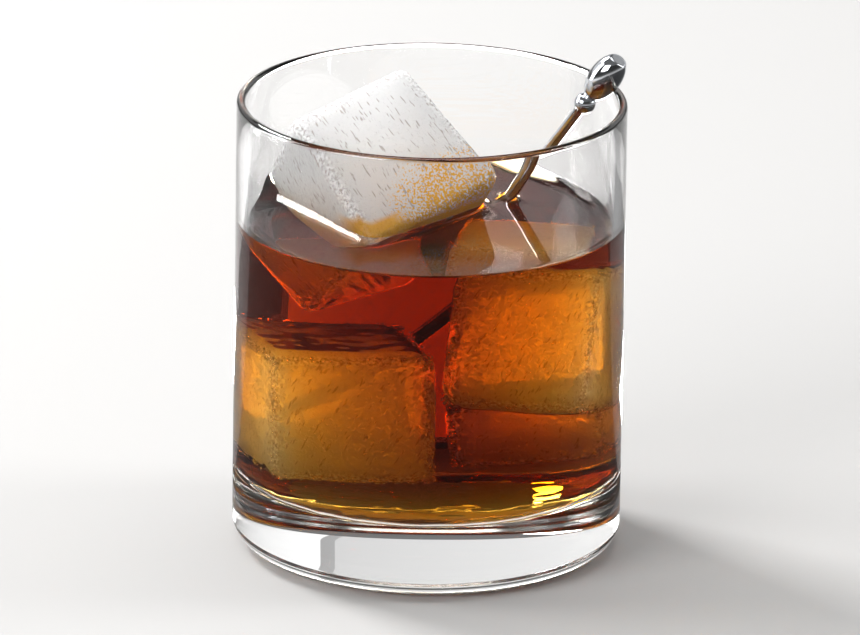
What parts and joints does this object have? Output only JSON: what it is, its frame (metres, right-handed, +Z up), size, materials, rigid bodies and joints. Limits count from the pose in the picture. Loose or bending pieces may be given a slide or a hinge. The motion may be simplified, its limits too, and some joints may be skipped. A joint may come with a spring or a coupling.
{
  "type": "black russian cocktail in a glass",
  "caption": "Straight old-fashioned glass of dark coffee drink with a large ice cube standing out of it and a steel cocktail pick leaning on the rim.",
  "frame": {"origin": "centre of the underside of the glass's foot", "axes": "+Z up along the glass's axis, -Y towards the side that is seen from the front"},
  "size_m": [0.086, 0.086, 0.1108],
  "materials": {
    "clear_glass": "clear polished glass",
    "coffee_drink": "clear dark amber-brown liquid",
    "ice": "cloudy wet ice",
    "polished_steel": "mirror-polished stainless steel"
  },
  "bodies": {
    "root": {"glass": "clear_glass", "drink": "coffee_drink", "ice_top": "ice", "pick": "polished_steel"}
  },
  "joints": []
}
